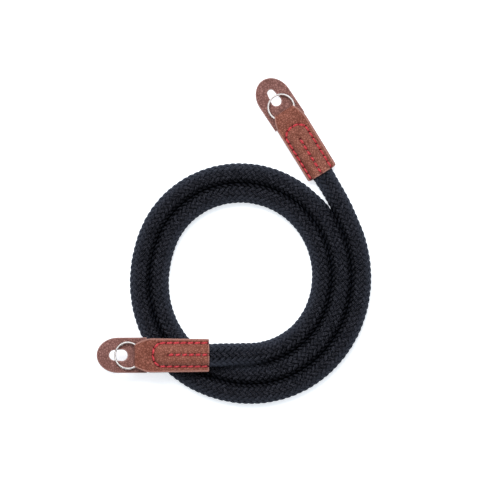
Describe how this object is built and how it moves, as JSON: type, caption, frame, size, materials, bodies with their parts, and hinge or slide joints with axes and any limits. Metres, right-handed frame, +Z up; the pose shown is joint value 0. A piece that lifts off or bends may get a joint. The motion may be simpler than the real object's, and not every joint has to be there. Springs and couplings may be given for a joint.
{
  "type": "coiled camera strap",
  "caption": "Braided round rope strap lying coiled, with stitched leather ends that each hold a split ring and a slotted leather guard for a camera's strap lug.",
  "frame": {"origin": "middle of the strap's footprint, on the surface that it lies on", "axes": "+Z up from the surface, +Y towards the end that lies outside the coil, +X to the right in a view from above"},
  "size_m": [0.1606, 0.1924, 0.0237],
  "materials": {
    "rope_braid": "black round braid with a navy cast, matt",
    "end_leather": "reddish brown pebbled leather, satin",
    "guard_leather": "brown pebbled leather, satin, a little greyer than the ends",
    "ring_wire": "polished plated steel wire",
    "stitch_thread": "red waxed thread"
  },
  "bodies": {
    "root": {"rope": "rope_braid", "leather_end_left": "end_leather", "leather_end_top": "end_leather", "split_ring_left": "ring_wire", "split_ring_top": "ring_wire", "lug_guard_left": "guard_leather", "lug_guard_top": "guard_leather"}
  },
  "joints": []
}
